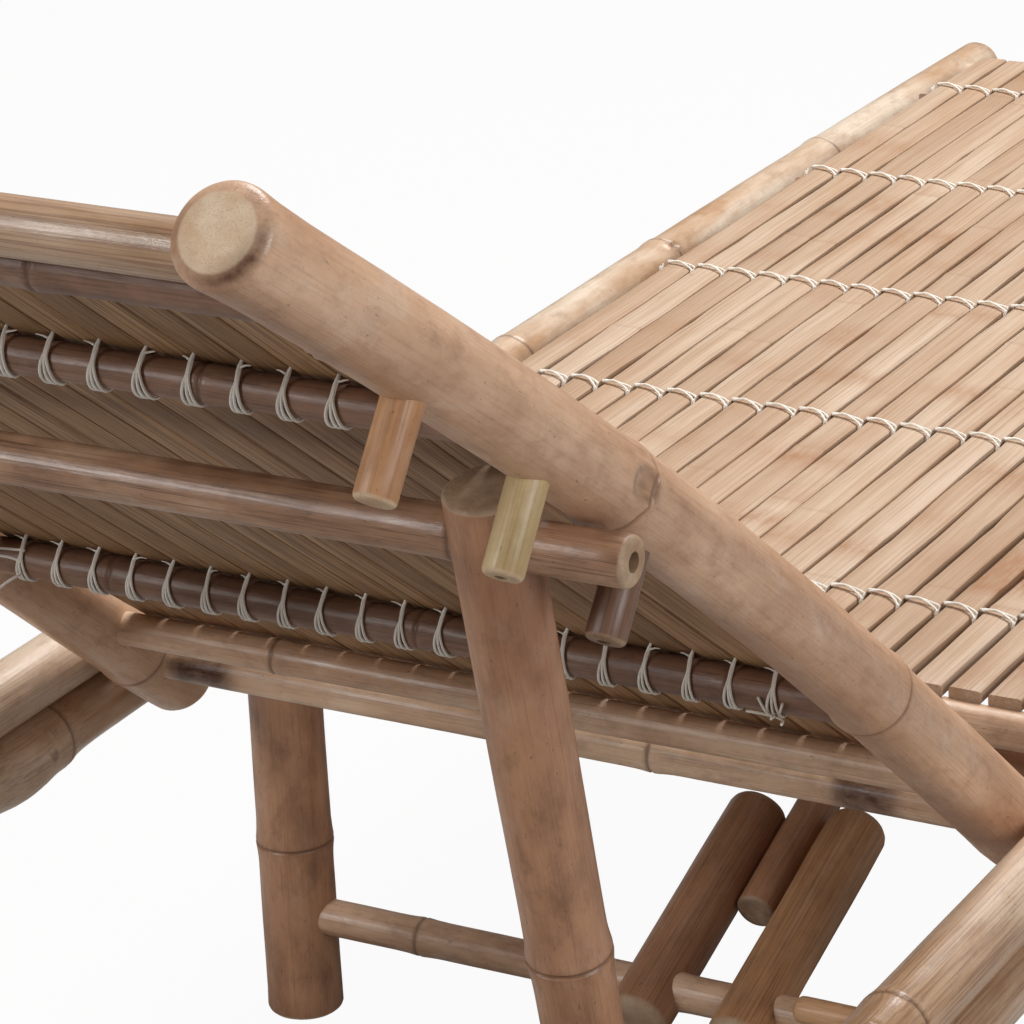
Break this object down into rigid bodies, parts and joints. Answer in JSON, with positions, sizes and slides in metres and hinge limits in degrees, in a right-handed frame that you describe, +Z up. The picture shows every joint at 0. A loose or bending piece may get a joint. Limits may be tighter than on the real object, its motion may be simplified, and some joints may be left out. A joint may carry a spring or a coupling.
{
  "type": "folding recliner",
  "caption": "Low bamboo lounger with doubled side rails, slatted bed and backrest tied with twine, a pegged prop that sets the backrest's angle, and folding leg frames.",
  "frame": {"origin": "on the floor, under the middle of the recliner's outline", "axes": "+X to the left of a person lying on it, +Y from the foot to the head, +Z up"},
  "size_m": [0.6352, 1.954, 0.8179],
  "materials": {
    "rail_cane": "satin",
    "pole_cane": "satin",
    "dark_cane": "satin",
    "reddish_cane": "satin",
    "leg_cane": "satin",
    "tan_cane": "satin",
    "green_cane": "satin",
    "seat_straw": "matte",
    "back_straw": "matte",
    "twine": "matte"
  },
  "bodies": {
    "seat_frame": {"upper_rail_left": "rail_cane", "upper_rail_right": "rail_cane", "lower_rail_left": "rail_cane", "lower_rail_right": "rail_cane", "rail_dowel_left_foot": "leg_cane", "rail_dowel_left_head": "leg_cane", "rail_dowel_right_foot": "leg_cane", "rail_dowel_right_head": "leg_cane", "hinge_axle": "reddish_cane", "seat_rear_bar": "reddish_cane", "seat_foot_bar": "rail_cane", "prop_pin_left": "reddish_cane", "prop_pin_right": "reddish_cane", "seat_lash_bar_1": "dark_cane", "seat_lash_bar_2": "dark_cane", "seat_lash_bar_3": "dark_cane", "seat_lash_bar_4": "dark_cane", "seat_lash_bar_5": "dark_cane", "rear_leg_axle": "leg_cane", "front_leg_axle": "leg_cane", "brace_bar": "leg_cane", "seat_mat": "seat_straw", "seat_lashing_1": "twine", "seat_lashing_2": "twine", "seat_lashing_3": "twine", "seat_lashing_4": "twine", "seat_lashing_5": "twine"},
    "rear_legs": {"rear_leg_left": "leg_cane", "rear_leg_right": "leg_cane", "rear_stretcher": "reddish_cane", "stretcher_splint": "tan_cane"},
    "rear_links": {"rear_brace_link_narrow": "leg_cane", "rear_brace_link_wide": "tan_cane"},
    "rear_strut": {"rear_brace_strut": "leg_cane"},
    "front_legs": {"front_leg_left": "leg_cane", "front_leg_right": "leg_cane", "front_stretcher": "reddish_cane"},
    "front_links": {"front_brace_link_narrow": "leg_cane", "front_brace_link_wide": "tan_cane"},
    "front_strut": {"front_brace_strut": "leg_cane"},
    "backrest": {"back_pole_left": "pole_cane", "back_pole_right": "pole_cane", "peg_low_left": "dark_cane", "peg_middle_left": "green_cane", "peg_high_left": "tan_cane", "peg_low_right": "dark_cane", "peg_middle_right": "green_cane", "peg_high_right": "tan_cane", "back_bottom_bar": "reddish_cane", "back_lash_bar_lower": "dark_cane", "back_lash_bar_upper": "dark_cane", "back_head_bar": "rail_cane", "back_second_head_bar": "dark_cane", "back_mat": "back_straw", "back_lashing_lower": "twine", "back_lashing_upper": "twine"},
    "prop": {"prop_post_left": "leg_cane", "prop_post_right": "leg_cane", "prop_crossbar": "tan_cane"}
  },
  "joints": [
    {"name": "backrest_fold", "type": "hinge", "parent": "seat_frame", "child": "backrest", "pos_m": [0, 0.29099, 0.285], "axis": [1, 0, 0], "range_deg": [0, 116]},
    {"name": "prop_fold", "type": "hinge", "parent": "seat_frame", "child": "prop", "pos_m": [0, 0.65459, 0.285], "axis": [1, 0, 0], "range_deg": [0, 98.12]},
    {"name": "rear_leg_fold", "type": "hinge", "parent": "seat_frame", "child": "rear_legs", "pos_m": [0, 0.15399, 0.2477], "axis": [-1, 0, 0], "range_deg": [0, 72]},
    {"name": "rear_link_turn", "type": "hinge", "parent": "rear_legs", "child": "rear_links", "pos_m": [0, 0.15399, 0.063], "axis": [-1, 0, 0], "range_deg": [0, 73.83]},
    {"name": "rear_strut_turn", "type": "hinge", "parent": "seat_frame", "child": "rear_strut", "pos_m": [0, -0.36151, 0.2477], "axis": [1, 0, 0], "range_deg": [0, 15.72]},
    {"name": "front_leg_fold", "type": "hinge", "parent": "seat_frame", "child": "front_legs", "pos_m": [0, -0.87701, 0.2477], "axis": [1, 0, 0], "range_deg": [0, 72]},
    {"name": "front_link_turn", "type": "hinge", "parent": "front_legs", "child": "front_links", "pos_m": [0, -0.87701, 0.063], "axis": [1, 0, 0], "range_deg": [0, 73.83]},
    {"name": "front_strut_turn", "type": "hinge", "parent": "seat_frame", "child": "front_strut", "pos_m": [0, -0.36151, 0.2477], "axis": [-1, 0, 0], "range_deg": [0, 15.72]}
  ],
  "couplings": [
    {"joint": "prop_fold", "follows": "backrest_fold", "ratio": 0.8458},
    {"joint": "rear_link_turn", "follows": "rear_leg_fold", "ratio": 1.0254},
    {"joint": "rear_strut_turn", "follows": "rear_leg_fold", "ratio": 0.21826},
    {"joint": "front_link_turn", "follows": "front_leg_fold", "ratio": 1.0254},
    {"joint": "front_strut_turn", "follows": "front_leg_fold", "ratio": 0.21826}
  ]
}
